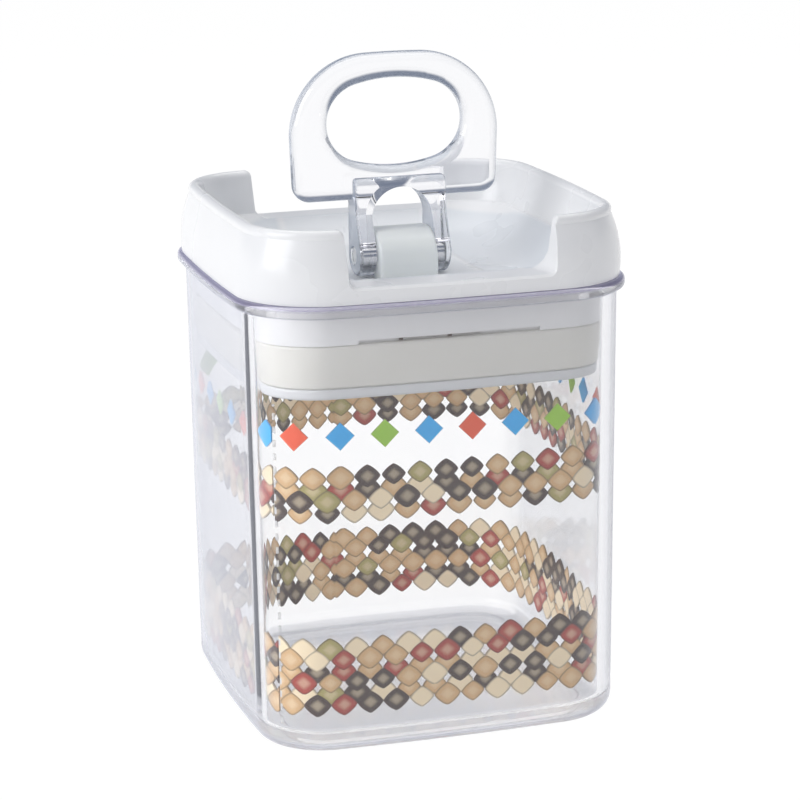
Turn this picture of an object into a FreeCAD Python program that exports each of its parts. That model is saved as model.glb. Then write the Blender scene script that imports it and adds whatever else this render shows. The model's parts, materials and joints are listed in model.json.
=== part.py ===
"""Square clear storage canister with a press-seal lid and a flip-up handle.

The frame: origin at the middle of the base, +Z up, the front towards -Y. Millimetres.
The handle stands upright. Folded forward, its two cams push on the lid, the pin lifts the
stem and the press plate, and the plate squeezes the gasket out against the wall.
"""
import FreeCAD, Part
import math
import os

V = FreeCAD.Vector

# Canister
body_height = 84.0          # base to the top of the rim
body_top_width = 72.0       # through the middles of two opposite sides
body_lean = 0.7             # how far each side stands in at the base
body_corner_radius = 13.9
side_bow = 1.58             # how far a side bulges past a flat one
wall = 2.4
floor_thickness = 3.2
base_edge_radius = 3.2
inner_edge_radius = 1.6
rim_overhang = 1.5          # how far the rim stands out from the wall
rim_height = 2.2
rim_chamfer = 0.7
foot_recess = 0.6           # hollow under the base, so that it stands on a ring
foot_ring_width = 6.0

# Printed film sleeve, rolled up inside the canister
film = 0.25
film_clearance = 0.15
film_height = 60.6
film_seam = 0.6             # gap where the two ends of the film meet
film_seam_x = -22.5

# Lid cover
lid_overhang = 0.725        # how far the lid's lower edge stands out from the canister's wall
lid_corner_radius = 15.8
lid_bow = 1.42
lid_height = 13.1           # lower edge to the top of the raised sides
lid_wall = 2.0
lid_lean = 1.7              # how far the outer wall leans in
lid_belly_height = 8.1      # where the outer wall bulges most
lid_belly_lean = 0.5
ridge_width = 2.0           # round top of the raised sides
ridge_drop = 1.6
side_thickness = 5.4        # raised side at the edge of the dish
dish_edge_height = 4.7      # above the lid's lower edge
dish_ledge = 0.5
dish_depth = 6.7            # dish edge down to its flat middle
dish_wall = 2.0
dish_middle_width = 30.0
dish_middle_radius = 12.6
dish_middle_bow = 1.5
dish_corner_growth = 5.0    # how much rounder its corners are low down
dish_steps = ((0.45, 0.10), (0.78, 0.38))   # share of the way out, share of the way up
dish_room = 0.3             # between the dish's underside and the cup
gap_width = 38.6            # opening in the raised side, front and back
front_sill_height = 3.0     # above the lid's lower edge
back_sill_height = 3.8
gap_corner_radius = 2.2
gap_top_radius = 1.2
gap_depth = 14.0
core_top_height = 7.0       # moulding groove inside the raised sides
core_width = 1.2

# Inner lid, a cup that plugs the mouth
plug_clearance = 0.45
plug_depth = 7.7            # below the rim's top
plug_wall = 2.0
plug_floor = 2.0
plug_flange_height = 1.6
plug_flange_clearance = 0.25
vent_width = 34.0           # shallow relief along the foot of each side of the plug
vent_height = 0.7
vent_depth = 1.2

# Gasket and press plate
gasket_height = 8.0
gasket_top_width = 6.0
gasket_bottom_width = 5.2
gasket_taper = 1.8          # how far its lower edge stands in from its upper one
gasket_belly = 0.45         # how far its side stands in halfway down
plate_thickness = 1.9
plate_inset = 2.2           # from the plug's outline
plate_edge_chamfer = 0.6

# Stem, pin and the running fits around them
pin_radius = 1.8
pin_height = 1.9            # pin's axis above the rim's top
pin_y = -2.5
pin_end_gap = 0.2           # each pin end stands this far inside the arm
pin_chamfer = 0.27
stem_width = 11.2
stem_front = 7.3            # reach of the stem's head from the pin's axis
stem_back = 5.15
stem_top = 5.15
stem_front_radius = 6.0
stem_back_radius = 4.7
stem_edge_radius = 0.6
stem_clearance = 0.3
foot_length = 20.0
foot_thickness = 2.0
foot_corner_radius = 3.0
spigot_radius = 4.0
pin_press = 0.02            # radial room in the stem
pin_running = 0.06          # radial room in the arms

# Handle, heights measured up from the pin's axis
plate_lift = 1.7            # how far the folded handle raises the pin
fold_angle = math.radians(90)
cam_points = 7              # points that the cam's curve goes through
cam_clearance = 0.15
handle_top = 37.6
handle_bottom = 10.25
handle_top_half = 20.6      # half width at the top corners, before they are rounded
handle_bottom_half = 19.7
handle_top_crown = 1.4
handle_top_radius = 15.2
handle_bottom_radius = 3.2
handle_thickness = 4.6
handle_front = 0.0          # front face, from the pin's axis
handle_edge_radius = 1.9
finger_hole_width = 26.4
finger_hole_height = 16.4
finger_hole_end_radius = 7.4
finger_hole_middle = 24.6
neck_width = 17.7
neck_front = -2.4
neck_top = 14.6
neck_ledge_radius = 1.6
neck_straight = 8.0         # where the neck's front turns upright
arm_gap_clearance = 0.25    # beside the stem
arch_top = 12.9
neck_edge_radius = 0.7

# Heights worked out from the sizes above
rim_top = body_height
lid_width = body_top_width + 2 * lid_overhang
lid_top = rim_top + lid_height
dish_edge_z = rim_top + dish_edge_height
dish_floor_z = dish_edge_z - dish_depth
flange_top = rim_top + plug_flange_height
plug_bottom = rim_top - plug_depth
plug_inset = body_lean * plug_depth / body_height + wall + plug_clearance
gasket_bottom = plug_bottom - gasket_height
plate_bottom = gasket_bottom - plate_thickness
pin_z = rim_top + pin_height
cam_rest_radius = pin_z - dish_floor_z - cam_clearance
half_arm_gap = stem_width / 2 + arm_gap_clearance
near = 1e-4                 # slack for picking edges by where they lie


def lean_at(z):
    """How far the canister's wall stands in at height z from where it is at the rim."""
    return body_lean * (1 - z / body_height)


def outline(width, radius, bow, z, inset=0.0):
    """Square with bowed sides and round corners at height z, drawn in all round by inset."""
    half = width / 2
    side_radius = (half ** 2 + bow ** 2) / (2 * bow)
    side_centre = side_radius - half
    corner_reach = math.sqrt(2 * (side_radius - radius) ** 2 - side_centre ** 2)
    corner_centre = (corner_reach - side_centre) / 2
    join = math.atan2(corner_centre, side_centre + corner_centre)

    def on_side(angle):
        reach = side_radius - inset
        return V(reach * math.sin(angle), side_centre - reach * math.cos(angle), z)

    def on_corner(angle):
        reach = radius - inset
        across = corner_centre + reach * math.sin(angle)
        return V(across, -corner_centre - reach * math.cos(angle), z)

    edges = []
    for quarter in range(4):
        turn = FreeCAD.Rotation(V(0, 0, 1), 90 * quarter)
        side = [on_side(angle) for angle in (-join, 0, join)]
        corner = [on_corner(angle) for angle in (join, math.pi / 4, math.pi / 2 - join)]
        for points in (side, corner):
            edges.append(Part.Arc(*[turn.multVec(p) for p in points]).toShape())
    return Part.Wire(edges)


def body_outline(inset, z=body_height):
    """Outline of the canister's wall at the rim, drawn in all round by inset."""
    return outline(body_top_width, body_corner_radius, side_bow, z, inset)


def lid_outline(z, inset=0.0):
    return outline(lid_width, lid_corner_radius, lid_bow, z, inset)


def plug_outline(z, inset=0.0):
    """Outline of the plug, which clears the wall at its own lowest edge."""
    return body_outline(plug_inset + inset, z)


def prism(wire, height):
    """Upright solid on a closed flat outline."""
    return Part.Face(wire).extrude(V(0, 0, height))


def block(x0, x1, y0, y1, z0, z1):
    return Part.makeBox(x1 - x0, y1 - y0, z1 - z0, V(x0, y0, z0))


def quarter_round(start, corner_end):
    """Middle point of the quarter round that leaves start upright and reaches corner_end flat."""
    share = 1 - math.sqrt(0.5)
    across = corner_end[0] - start[0]
    up = corner_end[1] - start[1]
    return (start[0] + share * across, corner_end[1] - share * up)


def edges_at_height(shape, z):
    """Edges that lie flat at height z."""
    return [e for e in shape.Edges if abs(e.BoundBox.ZMin - z) < near and abs(e.BoundBox.ZMax - z) < near]


def swept(points, spine, bulges=()):
    """Closed section, given as (distance in from the spine, height), swept along the spine.

    A side whose number is in bulges is an arc through the point given there.
    """
    front = spine.BoundBox.YMin
    corners = [V(0, front + inward, z) for inward, z in points]
    middles = {side: V(0, front + inward, z) for side, (inward, z) in dict(bulges).items()}
    edges = []
    for side, start in enumerate(corners):
        end = corners[(side + 1) % len(corners)]
        if side in middles:
            edges.append(Part.Arc(start, middles[side], end).toShape())
        else:
            edges.append(Part.makeLine(start, end))
    return spine.makePipeShell([Part.Wire(edges)], True, True)


def make_canister():
    """Clear tapered box with a round-edged rim and a shallow hollow under its base."""
    rim_low = body_height - rim_height
    inner_low = floor_thickness + inner_edge_radius
    foot_inset = body_lean + foot_ring_width
    section = [
        (rim_chamfer - rim_overhang, body_height),
        (-rim_overhang, body_height - rim_chamfer),
        (-rim_overhang, rim_low + rim_chamfer),
        (rim_chamfer - rim_overhang, rim_low),
        (lean_at(rim_low), rim_low),
        (lean_at(base_edge_radius), base_edge_radius),
        (body_lean + base_edge_radius, 0),
        (foot_inset, 0),
        (foot_inset, floor_thickness),
        (lean_at(inner_low) + wall + inner_edge_radius, floor_thickness),
        (lean_at(inner_low) + wall, inner_low),
        (wall, body_height),
    ]
    bulges = {
        5: quarter_round(section[5], section[6]),
        9: quarter_round(section[10], section[9]),
    }
    ring = swept(section, body_outline(0), bulges)
    base = prism(body_outline(foot_inset, foot_recess), floor_thickness - foot_recess)
    return ring.fuse(base).removeSplitter()


def make_sleeve():
    """Clear film rolled to the canister's inside, its two ends meeting at a seam in front."""
    low = floor_thickness + inner_edge_radius
    high = low + film_height
    outside = wall + film_clearance
    section = [
        (lean_at(low) + outside, low),
        (lean_at(low) + outside + film, low),
        (lean_at(high) + outside + film, high),
        (lean_at(high) + outside, high),
    ]
    seam_left = film_seam_x - film_seam / 2
    seam = block(seam_left, seam_left + film_seam, -body_top_width, 0, low, high)
    return swept(section, body_outline(0)).cut(seam)


def dish_loft(offset):
    """Bowl-shaped solid of the dish, grown by offset on its underside and round it."""
    top_inset = side_thickness + dish_ledge - offset
    top_width = lid_width - 2 * (side_thickness + dish_ledge) + 2 * offset
    middle = dish_middle_width + 2 * offset
    rise = top_width - middle
    sections = [outline(middle, dish_middle_radius + offset, dish_middle_bow, dish_floor_z - offset)]
    for width_share, depth_share in dish_steps:
        width = middle + width_share * rise
        radius = lid_corner_radius - top_inset + (1 - width_share) * dish_corner_growth
        z = dish_floor_z - offset + depth_share * (dish_depth + offset)
        sections.append(outline(width, radius, lid_bow, z))
    sections.append(lid_outline(dish_edge_z, top_inset))
    return Part.makeLoft(sections, True, False)


def gap_cutter(sill_z, towards):
    """Opening through a raised side: round lower corners and rounded upper ends."""
    half = gap_width / 2
    top = lid_top + gap_top_radius
    shoulder = lid_top - gap_top_radius
    low = sill_z + gap_corner_radius

    def arc(centre_x, centre_z, radius, first, last):
        angles = [math.radians(a) for a in (first, (first + last) / 2, last)]
        return Part.Arc(*[V(centre_x + radius * math.cos(a), 0, centre_z + radius * math.sin(a))
                          for a in angles]).toShape()

    in_x = half - gap_corner_radius
    out_x = half + gap_top_radius
    edges = [
        Part.makeLine(V(-in_x, 0, sill_z), V(in_x, 0, sill_z)),
        arc(in_x, low, gap_corner_radius, -90, 0),
        Part.makeLine(V(half, 0, low), V(half, 0, shoulder)),
        arc(out_x, shoulder, gap_top_radius, 180, 90),
        Part.makeLine(V(out_x, 0, lid_top), V(out_x, 0, top)),
        Part.makeLine(V(out_x, 0, top), V(-out_x, 0, top)),
        Part.makeLine(V(-out_x, 0, top), V(-out_x, 0, lid_top)),
        arc(-out_x, shoulder, gap_top_radius, 90, 0),
        Part.makeLine(V(-half, 0, shoulder), V(-half, 0, low)),
        arc(-in_x, low, gap_corner_radius, 180, 270),
    ]
    face = Part.Face(Part.Wire(edges))
    face.translate(V(0, towards * lid_width, 0))
    return face.extrude(V(0, -towards * (lid_width / 2 + gap_depth), 0))


def make_lid_cover():
    """White cover: raised sides with a round ridge, a dish between them, a gap front and back."""
    spine = lid_outline(rim_top)
    ridge_side = lid_top - ridge_drop
    ridge_in = lid_lean + ridge_width
    section = [
        (0, rim_top),
        (lid_lean, ridge_side),
        (ridge_in, ridge_side),
        (side_thickness, dish_edge_z),
        (side_thickness + dish_wall + dish_ledge, dish_edge_z),
        (side_thickness + dish_wall + dish_ledge, flange_top),
        (lid_wall, flange_top),
        (lid_wall, rim_top),
    ]
    bulges = {
        0: (lid_belly_lean, rim_top + lid_belly_height),
        1: (lid_lean + ridge_width / 2, lid_top),
    }
    cover = swept(section, spine, bulges)
    core_start = (lid_wall + side_thickness - core_width) / 2
    core = [
        (core_start, flange_top),
        (core_start, rim_top + core_top_height),
        (core_start + core_width, rim_top + core_top_height),
        (core_start + core_width, flange_top),
    ]
    cover = cover.fuse(dish_loft(dish_wall)).cut(swept(core, spine)).cut(dish_loft(0))
    for sill, towards in ((front_sill_height, -1), (back_sill_height, 1)):
        cover = cover.cut(gap_cutter(rim_top + sill, towards))
    return cover.cut(stem_slot(dish_floor_z - 2 * dish_wall, dish_edge_z)).removeSplitter()


def stem_slot(low, high):
    """Hole that the stem slides in."""
    half = stem_width / 2 + stem_clearance
    front = pin_y - stem_front - stem_clearance
    back = pin_y + stem_back + stem_clearance
    return block(-half, half, front, back, low, high)


def make_inner_lid():
    """White cup that plugs the mouth and hangs from a flange under the cover."""
    cup = prism(plug_outline(plug_bottom), plug_depth)
    flange = prism(lid_outline(rim_top, lid_wall + plug_flange_clearance), plug_flange_height)
    hollow = prism(plug_outline(plug_bottom + plug_floor, plug_wall), plug_depth + lid_height)
    cup = cup.fuse(flange).cut(hollow).cut(dish_loft(dish_wall + dish_room))
    cup = cup.cut(stem_slot(plug_bottom - plug_floor, rim_top))
    side = body_top_width / 2 - plug_inset
    vent = block(-vent_width / 2, vent_width / 2, -side - vent_depth, -side + vent_depth,
                 plug_bottom, plug_bottom + vent_height)
    for quarter in range(4):
        turned = vent.copy()
        turned.rotate(V(0, 0, 0), V(0, 0, 1), 90 * quarter)
        cup = cup.cut(turned)
    return cup.removeSplitter()


def make_gasket():
    """Soft ring between the plug and the press plate, drawn in towards its foot."""
    section = [
        (0, plug_bottom),
        (gasket_taper, gasket_bottom),
        (gasket_taper + gasket_bottom_width, gasket_bottom),
        (gasket_top_width, plug_bottom),
    ]
    belly = (gasket_belly, plug_bottom - gasket_height / 2)
    return swept(section, plug_outline(plug_bottom), {0: belly})


def make_press_plate():
    """Flat plate under the gasket, with a hole for the stem's spigot."""
    plate = prism(plug_outline(plate_bottom, plate_inset), plate_thickness)
    plate = plate.makeChamfer(plate_edge_chamfer, edges_at_height(plate, plate_bottom))
    hole = Part.makeCylinder(spigot_radius, plate_thickness, V(0, pin_y, plate_bottom))
    return plate.cut(hole)


def make_stem():
    """Upright tongue with a rounded head for the pin, on a square foot with a spigot."""
    half = stem_width / 2
    front = pin_y - stem_front
    back = pin_y + stem_back
    top = pin_z + stem_top
    share = 1 - math.sqrt(0.5)
    front_low = V(-half, front, top - stem_front_radius)
    front_high = V(-half, front + stem_front_radius, top)
    back_low = V(-half, back, top - stem_back_radius)
    back_high = V(-half, back - stem_back_radius, top)
    front_middle = V(-half, front + share * stem_front_radius, top - share * stem_front_radius)
    back_middle = V(-half, back - share * stem_back_radius, top - share * stem_back_radius)
    front_foot = V(-half, front, gasket_bottom)
    back_foot = V(-half, back, gasket_bottom)
    profile = Part.Wire([
        Part.makeLine(front_foot, front_low),
        Part.Arc(front_low, front_middle, front_high).toShape(),
        Part.makeLine(front_high, back_high),
        Part.Arc(back_high, back_middle, back_low).toShape(),
        Part.makeLine(back_low, back_foot),
        Part.makeLine(back_foot, front_foot),
    ])
    tongue = Part.Face(profile).extrude(V(stem_width, 0, 0))
    sides = [e for e in tongue.Edges if e.BoundBox.XLength < near and e.BoundBox.ZMax > pin_z - stem_top]
    tongue = tongue.makeFillet(stem_edge_radius, sides)
    foot_top = gasket_bottom + foot_thickness
    reach = foot_length / 2
    foot = block(-reach, reach, pin_y - reach, pin_y + reach, gasket_bottom, foot_top)
    upright = [e for e in foot.Edges if abs(e.BoundBox.ZLength - foot_thickness) < near]
    foot = foot.makeFillet(foot_corner_radius, upright)
    spigot = Part.makeCylinder(spigot_radius, plate_thickness, V(0, pin_y, plate_bottom))
    bore = Part.makeCylinder(pin_radius + pin_press, stem_width, V(-half, pin_y, pin_z), V(1, 0, 0))
    return tongue.fuse([foot, spigot]).cut(bore).removeSplitter()


def make_pin():
    """Plain steel pin with chamfered ends."""
    half = neck_width / 2 - pin_end_gap
    pin = Part.makeCylinder(pin_radius, 2 * half, V(-half, pin_y, pin_z), V(1, 0, 0))
    rims = [e for e in pin.Edges if e.BoundBox.XLength < near]
    return pin.makeChamfer(pin_chamfer, rims)


def cam_edge():
    """Cam profile, in (forward, up) from the pin, from its foot round to its front.

    Its reach below the pin grows evenly with the angle that the handle is folded by,
    so the pin rises in step with the handle.
    """
    rate = plate_lift / fold_angle
    points = []
    for step in range(cam_points):
        angle = step / (cam_points - 1) * fold_angle
        reach = cam_rest_radius + rate * angle
        forward = reach * math.sin(angle) + rate * math.cos(angle)
        up = -reach * math.cos(angle) + rate * math.sin(angle)
        points.append(V(0, pin_y - forward, pin_z + up))
    curve = Part.BSplineCurve()
    leaving = V(0, -math.cos(fold_angle), math.sin(fold_angle))
    curve.interpolate(points, False, InitialTangent=V(0, -1, 0), FinalTangent=leaving)
    return curve.toShape(), points[0], points[-1]


def oval(width, height, end_radius):
    """Upright oval of four arcs about the origin, facing forward."""
    reach = width / 2 - end_radius
    half = height / 2
    rise = (reach ** 2 + half ** 2 - end_radius ** 2) / (2 * (half - end_radius)) - half
    side_radius = half + rise
    turn = math.atan2(reach, rise)

    def at(centre_x, centre_z, radius, angle):
        return V(centre_x + radius * math.sin(angle), 0, centre_z + radius * math.cos(angle))

    def arc(centre_x, centre_z, radius, middle, spread):
        return Part.Arc(*[at(centre_x, centre_z, radius, middle + side * spread)
                          for side in (-1, 0, 1)]).toShape()

    quarter = math.pi / 2
    return Part.Wire([
        arc(0, -rise, side_radius, 0, turn),
        arc(reach, 0, end_radius, quarter, quarter - turn),
        arc(0, rise, side_radius, 2 * quarter, turn),
        arc(-reach, 0, end_radius, 3 * quarter, quarter - turn),
    ])


def make_neck():
    """Two arms under a ledge, with cams at their feet, an arch between them and the pin's bore."""
    cam, foot, front = cam_edge()
    back_y = pin_y + cam_rest_radius
    front_y = pin_y + neck_front
    plate_y = pin_y + handle_front + handle_thickness / 2
    ledge_z = pin_z + neck_top
    ledge_y = front_y + neck_ledge_radius
    slant = neck_ledge_radius * math.sqrt(0.5)
    heel = V(0, pin_y, foot.z)
    heel_middle = V(0, pin_y + cam_rest_radius * math.sqrt(0.5), pin_z - cam_rest_radius * math.sqrt(0.5))
    back = V(0, back_y, pin_z)
    ledge_middle = V(0, ledge_y - slant, ledge_z - neck_ledge_radius + slant)
    upright = V(0, front_y, pin_z + neck_straight)
    ledge_low = V(0, front_y, ledge_z - neck_ledge_radius)
    edges = [
        cam,
        Part.makeLine(front, upright),
        Part.makeLine(upright, ledge_low),
        Part.Arc(ledge_low, ledge_middle, V(0, ledge_y, ledge_z)).toShape(),
        Part.makeLine(V(0, ledge_y, ledge_z), V(0, plate_y, ledge_z)),
        Part.makeLine(V(0, plate_y, ledge_z), V(0, back_y, pin_z + handle_bottom)),
        Part.makeLine(V(0, back_y, pin_z + handle_bottom), back),
        Part.Arc(back, heel_middle, heel).toShape(),
        Part.makeLine(heel, foot),
    ]
    profile = Part.Face(Part.Wire(edges))
    profile.translate(V(-neck_width / 2, 0, 0))
    neck = profile.extrude(V(neck_width, 0, 0))
    sides = [e for e in neck.Edges if e.BoundBox.XLength < near]
    neck = neck.makeFillet(neck_edge_radius, sides)
    arch_centre = V(0, pin_y - neck_width, pin_z + arch_top - half_arm_gap)
    crown = Part.makeCylinder(half_arm_gap, 2 * neck_width, arch_centre, V(0, 1, 0))
    below = block(-half_arm_gap, half_arm_gap, arch_centre.y, arch_centre.y + 2 * neck_width,
                  pin_z - 2 * cam_rest_radius, arch_centre.z)
    return neck, crown.fuse(below).removeSplitter()


def make_handle():
    """Clear grip plate with an oval finger hole, on a neck that carries the two cams."""
    front = pin_y + handle_front
    low = pin_z + handle_bottom
    high = pin_z + handle_top
    corner_z = high - handle_top_crown
    right_foot = V(handle_bottom_half, front, low)
    left_foot = V(-handle_bottom_half, front, low)
    right_top = V(handle_top_half, front, corner_z)
    left_top = V(-handle_top_half, front, corner_z)
    outer = Part.Wire([
        Part.makeLine(left_foot, right_foot),
        Part.makeLine(right_foot, right_top),
        Part.Arc(right_top, V(0, front, high), left_top).toShape(),
        Part.makeLine(left_top, left_foot),
    ])
    grip = Part.Face(outer).extrude(V(0, handle_thickness, 0))
    through = [e for e in grip.Edges if abs(e.BoundBox.YLength - handle_thickness) < near]
    top_corners = [e for e in through if e.BoundBox.ZMin > corner_z - 1]
    grip = grip.makeFillet(handle_top_radius, top_corners)
    through = [e for e in grip.Edges if abs(e.BoundBox.YLength - handle_thickness) < near]
    foot_corners = [e for e in through if e.BoundBox.ZMax < low + 1]
    grip = grip.makeFillet(handle_bottom_radius, foot_corners)
    hole = Part.Face(oval(finger_hole_width, finger_hole_height, finger_hole_end_radius))
    hole.translate(V(0, front, pin_z + finger_hole_middle))
    grip = grip.cut(hole.extrude(V(0, handle_thickness, 0)))
    faces_y = (front, front + handle_thickness)
    rims = [e for e in grip.Edges
            if e.BoundBox.YLength < near and min(abs(e.BoundBox.YMin - y) for y in faces_y) < near]
    grip = grip.makeFillet(handle_edge_radius, rims)
    neck, arch = make_neck()
    bore = Part.makeCylinder(pin_radius + pin_running, 2 * neck_width,
                             V(-neck_width, pin_y, pin_z), V(1, 0, 0))
    return grip.fuse(neck).cut(arch).cut(bore).removeSplitter()


def main():
    os.makedirs("parts", exist_ok=True)
    pieces = {
        "canister": make_canister,
        "printed_sleeve": make_sleeve,
        "lid_cover": make_lid_cover,
        "inner_lid": make_inner_lid,
        "gasket": make_gasket,
        "press_plate": make_press_plate,
        "lift_stem": make_stem,
        "hinge_pin": make_pin,
        "flip_handle": make_handle,
    }
    for name, make in pieces.items():
        shape = make()
        shape.exportStep(os.path.join("parts", name + ".step"))
        print(name, len(shape.Solids), "solid", shape.isValid(), round(shape.Volume, 1), shape.BoundBox)


main()
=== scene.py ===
"""Looks of a square clear storage canister with a press-seal lid and a flip-up handle.

Laid out as an add-on and run as a script. Metres; origin at the middle of the base, +Z up,
the front towards -Y.
"""
import json
import math

import bmesh
import bpy
from bpy.props import FloatProperty, FloatVectorProperty, PointerProperty
from bpy.types import Operator, Panel, PropertyGroup
from mathutils import Matrix, Vector


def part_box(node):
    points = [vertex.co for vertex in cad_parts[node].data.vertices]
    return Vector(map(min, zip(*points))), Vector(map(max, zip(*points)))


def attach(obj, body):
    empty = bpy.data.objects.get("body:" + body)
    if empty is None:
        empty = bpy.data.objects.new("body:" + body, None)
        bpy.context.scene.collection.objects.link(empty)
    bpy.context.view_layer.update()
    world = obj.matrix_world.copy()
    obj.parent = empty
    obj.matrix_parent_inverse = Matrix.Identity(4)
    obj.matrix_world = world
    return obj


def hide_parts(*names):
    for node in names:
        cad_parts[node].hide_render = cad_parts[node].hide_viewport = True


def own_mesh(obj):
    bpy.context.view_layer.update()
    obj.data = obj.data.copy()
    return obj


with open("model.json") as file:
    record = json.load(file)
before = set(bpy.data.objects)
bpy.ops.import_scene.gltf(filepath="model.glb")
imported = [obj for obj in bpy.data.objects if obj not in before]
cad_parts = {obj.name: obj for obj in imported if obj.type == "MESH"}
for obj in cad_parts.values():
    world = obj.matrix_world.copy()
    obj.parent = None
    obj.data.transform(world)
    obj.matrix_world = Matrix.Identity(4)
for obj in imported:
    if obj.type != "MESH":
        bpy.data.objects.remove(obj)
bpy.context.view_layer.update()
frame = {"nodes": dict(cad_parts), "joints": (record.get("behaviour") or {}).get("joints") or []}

bl_info = {
    "name": "Storage canister",
    "version": (1, 0, 0),
    "blender": (4, 5, 0),
    "location": "3D View > Sidebar > Canister",
    "description": "Builds the canister, its lid and its handle around the packed model",
    "category": "Object",
}

UP = Vector((0, 0, 1))
RIM_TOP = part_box("canister")[1].z
LID_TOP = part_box("lid_cover")[1].z
FILM_LOW, FILM_HIGH = (corner.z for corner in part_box("printed_sleeve"))
PLATE_LOW, PLATE_HIGH = (corner.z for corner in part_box("press_plate"))
GASKET_LOW, GASKET_HIGH = (corner.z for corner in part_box("gasket"))

# Head of the stem, seen from above
STEM_HEAD_WIDTH = 0.0112
STEM_HEAD_FRONT = -0.0098
STEM_HEAD_BACK = 0.00265

# Slit in the inner lid's sides: heights above the gasket, half its length, and the painted shade in it,
# heavier along one stretch and full at two notches
VENT_LOW, VENT_HIGH = 0.00002, 0.00072
VENT_HALF = 0.01695
VENT_SIDE = 0.03
VENT_SHADED = (-0.01, 0.006, 0.0005)
VENT_NOTCHES = (-0.0089, 0.0002)
VENT_NOTCH_HALF = 0.0004

# Steps of the meshes
SIDE_STEPS = 14
CORNER_STEPS = 14
ROUND_STEPS = 6
ARC_STEPS = 12
SILL_STEPS = 5
END_STEPS = 4
DISH_RINGS = 16
UNDER_RINGS = 8
FILM_LEVELS = 12

# The film's ends, as shares of the corner that they meet in, and the steps on each side of the seam
SEAM_SHARE = 0.35
SEAM_GAP_SHARE = 0.02
SEAM_STEPS_AFTER = 9
SEAM_STEPS_BEFORE = 5

# Borders of lozenges as (from, to), up from the film's lower edge, for the middles of the lozenges
LOZENGE_BORDERS = ((0.003, 0.0155), (0.0395, 0.048))

# Sizes of the print's motifs
LOZENGE_CELL = (0.0049, 0.0043)
LOZENGE_POWER = 1.3
DIAMOND_PITCH = 0.0082
DIAMOND_HEIGHT = 0.055
DIAMOND_EDGE = (0.0025, 0.0027)

# Dashes along the seam: filled part of each, and their width from the film's end, both with softness
DASHES_PER_METRE = 400.0
DASH_FILLED = (0.1, 0.6, 0.05)
SEAM_ZONE = (0.0, 0.0004, 0.0001)

# Clear and moulded plastic
CLEAR_IOR = 1.49
MOULDED_IOR = 1.5
BAND_SOFTNESS = 0.0003
CANISTER_DENSITY = 5.0
# Canister: power and strength of the painted dark edges where its walls turn away, and strength of the
# painted lavender sheen on its rim's top
CANISTER_EDGE_SHADE = (2.5, 0.82)
RIM_SHEEN = 0.42
FOOT_WINDOW = 0.43
RIM_WINDOW = 0.3
HANDLE_DENSITY = 8.0
# Handle: power and strength of its painted dark edges
HANDLE_EDGE_SHADE = (1.45, 0.95)
DISH_SQUARENESS = 4.0
DISH_BAND_RELIEF = 0.0003

# Stage
KEY_PLACE, KEY_SIZE = (-0.95, -0.25, 0.5), 0.7
FILL_PLACE, FILL_SIZE = (0.85, -0.45, 0.45), 0.6
TOP_PLACE, TOP_SIZE = (0.1, 0.25, 0.9), 0.8
FLOOR_HALF = 3.0
FLOOR_GLOW = 1.04
FLOOR_GLOW_SHARE = 0.92
WHITE = (1, 1, 1)
AMBIENT_TINT = (0.96, 0.97, 1.0)
DARK_BAND = (0.12, 0.65, 0.1)
DARK_BAND_TINT = (0.2, 0.23, 0.3)
SCATTERED_TINT = (0.8, 0.81, 0.83)
SENSOR_WIDTH = 36.0
CLIP_START = 0.01


# Properties

def length(name, description, default):
    return FloatProperty(name=name, description=description, default=default, unit="LENGTH", precision=5)


def colour(name, description, default):
    return FloatVectorProperty(name=name, description=description, default=default, size=3,
                               min=0, max=1, subtype="COLOR")


class CanisterSizes(PropertyGroup):
    """Sizes of the clear box and of the film inside it."""
    top_width: length("Top width", "Through the middles of two sides, at the rim", 0.072)
    lean: length("Lean", "How far each side stands in at the base", 0.0007)
    corner_radius: length("Corner radius", "Round corners, seen from above", 0.0139)
    bow: length("Bow", "How far a side bulges past a flat one", 0.00158)
    wall: length("Wall", "Thickness of the walls", 0.0024)
    floor: length("Floor", "Thickness of the floor", 0.0032)
    base_radius: length("Base radius", "Round edge between the sides and the base", 0.0032)
    inner_radius: length("Inner radius", "Round edge between the walls and the floor", 0.0016)
    rim_overhang: length("Rim overhang", "How far the rim stands out from the wall", 0.0015)
    rim_height: length("Rim height", "Height of the rim's edge", 0.0022)
    rim_radius: length("Rim radius", "Round edges of the rim", 0.0008)
    foot_ring: length("Foot ring", "Width of the flat ring that it stands on", 0.006)
    foot_recess: length("Foot recess", "Depth of the hollow inside that ring", 0.0006)
    film: length("Film", "Thickness of the film sleeve", 0.00025)
    film_room: length("Film room", "Between the film and the wall", 0.00015)


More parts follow.
